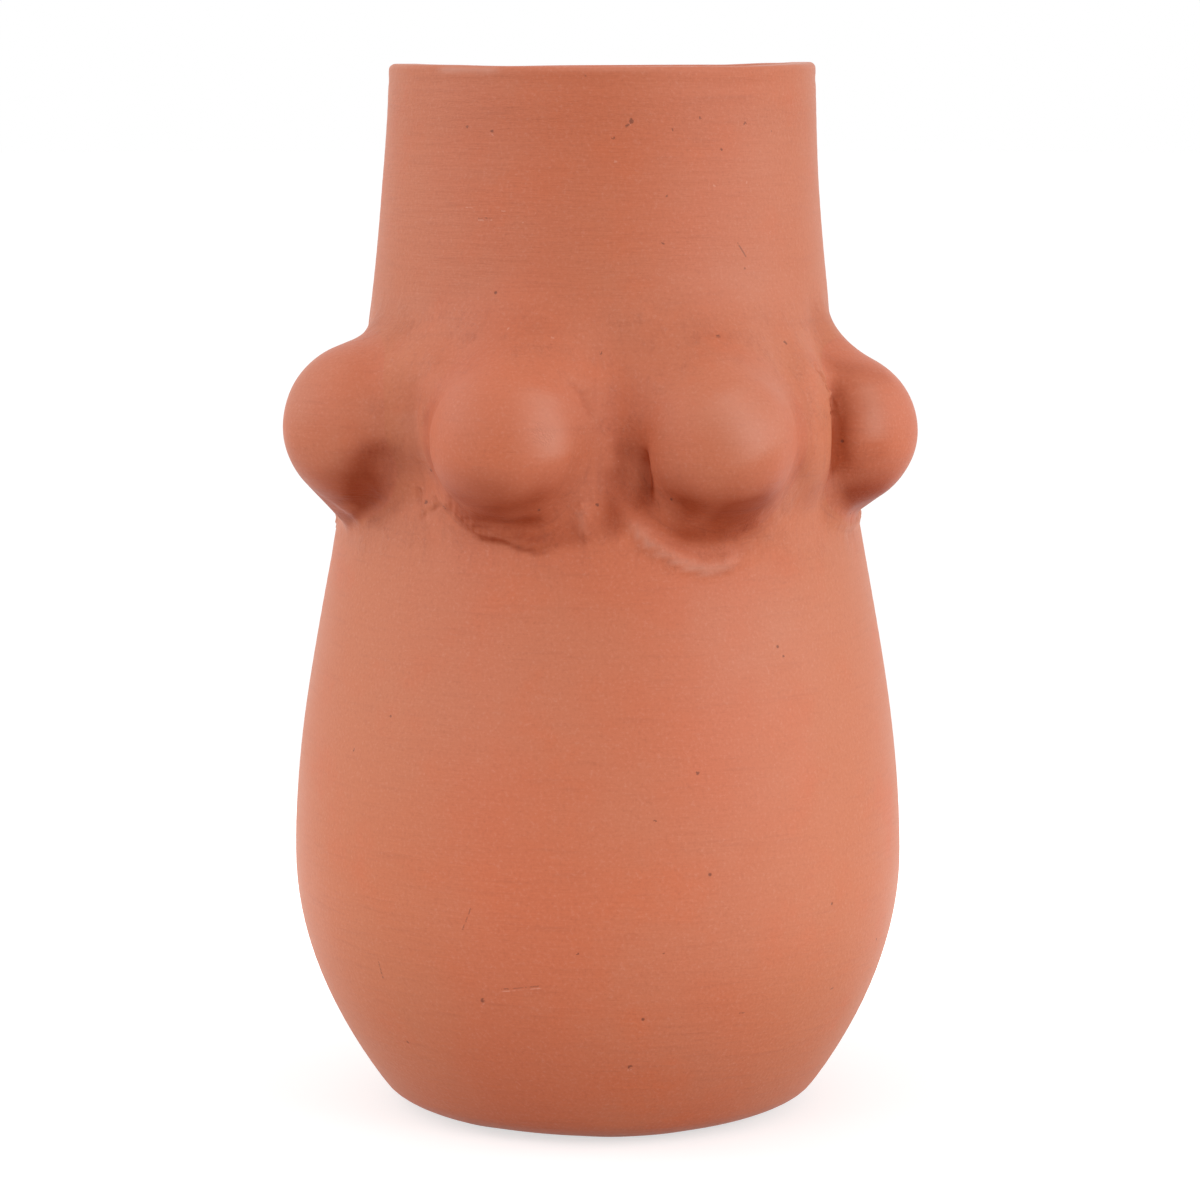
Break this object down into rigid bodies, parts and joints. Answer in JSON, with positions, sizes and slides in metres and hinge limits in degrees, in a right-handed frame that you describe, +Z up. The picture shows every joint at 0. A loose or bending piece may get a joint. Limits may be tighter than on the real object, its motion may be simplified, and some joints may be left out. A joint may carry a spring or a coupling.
{
  "type": "vase",
  "caption": "Hand-built terracotta vase with a round belly, a tall open neck and a ring of clay balls luted round its shoulder.",
  "frame": {"origin": "centre of the flat foot, on the table", "axes": "+Z up along the vase's axis; the pictured front faces -Y"},
  "size_m": [0.133, 0.133, 0.22],
  "materials": {
    "foot_clay": "matte unglazed terracotta, rubbed at the edge",
    "wall_clay": "matte unglazed terracotta with a faint bloom",
    "ball_clay": "matte unglazed terracotta, rolled by hand",
    "smeared_clay": "matte unglazed terracotta, smeared with a finger and a tool"
  },
  "bodies": {
    "root": {"floor_slab": "foot_clay", "belly_wall": "wall_clay", "neck_wall": "wall_clay", "ball_1": "ball_clay", "ball_2": "ball_clay", "ball_3": "ball_clay", "ball_4": "ball_clay", "ball_5": "ball_clay", "ball_6": "ball_clay", "ball_7": "ball_clay", "ball_8": "ball_clay", "collar_1": "smeared_clay", "collar_2": "smeared_clay", "collar_3": "smeared_clay", "collar_4": "smeared_clay", "collar_5": "smeared_clay", "collar_6": "smeared_clay", "collar_7": "smeared_clay", "collar_8": "smeared_clay"}
  },
  "joints": []
}
